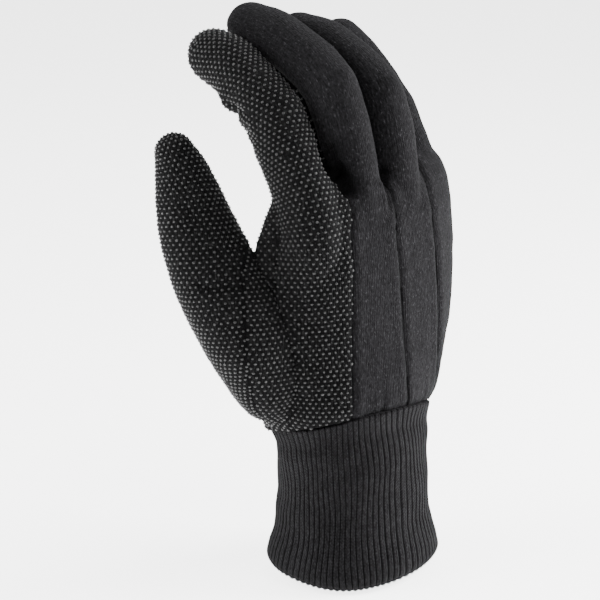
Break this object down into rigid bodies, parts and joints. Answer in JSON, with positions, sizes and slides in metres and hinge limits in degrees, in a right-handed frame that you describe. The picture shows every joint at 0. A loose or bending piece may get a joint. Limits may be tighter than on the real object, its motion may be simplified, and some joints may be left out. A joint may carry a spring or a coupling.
{
  "type": "dotted jersey glove",
  "caption": "Work glove for the right hand, sewn from dark cotton jersey with small raised grip dots on palm, forefinger and thumb, and a ribbed knit cuff.",
  "frame": {"origin": "middle of the cuff's open rim, where the hand goes in and where the worn glove is held", "axes": "+Z from the cuff to the fingertips, +X to the thumb side, +Y out of the back of the hand; the palm faces -Y"},
  "size_m": [0.1137, 0.0953, 0.2226],
  "materials": {
    "dotted_jersey": "matte",
    "plain_jersey": "matte",
    "ribbed_knit": "matte"
  },
  "bodies": {
    "root": {"palm_panel": "dotted_jersey", "thumb_panel": "dotted_jersey", "middle_back_panel": "plain_jersey", "ring_back_panel": "plain_jersey", "little_back_panel": "plain_jersey", "knit_cuff": "ribbed_knit"}
  },
  "joints": []
}
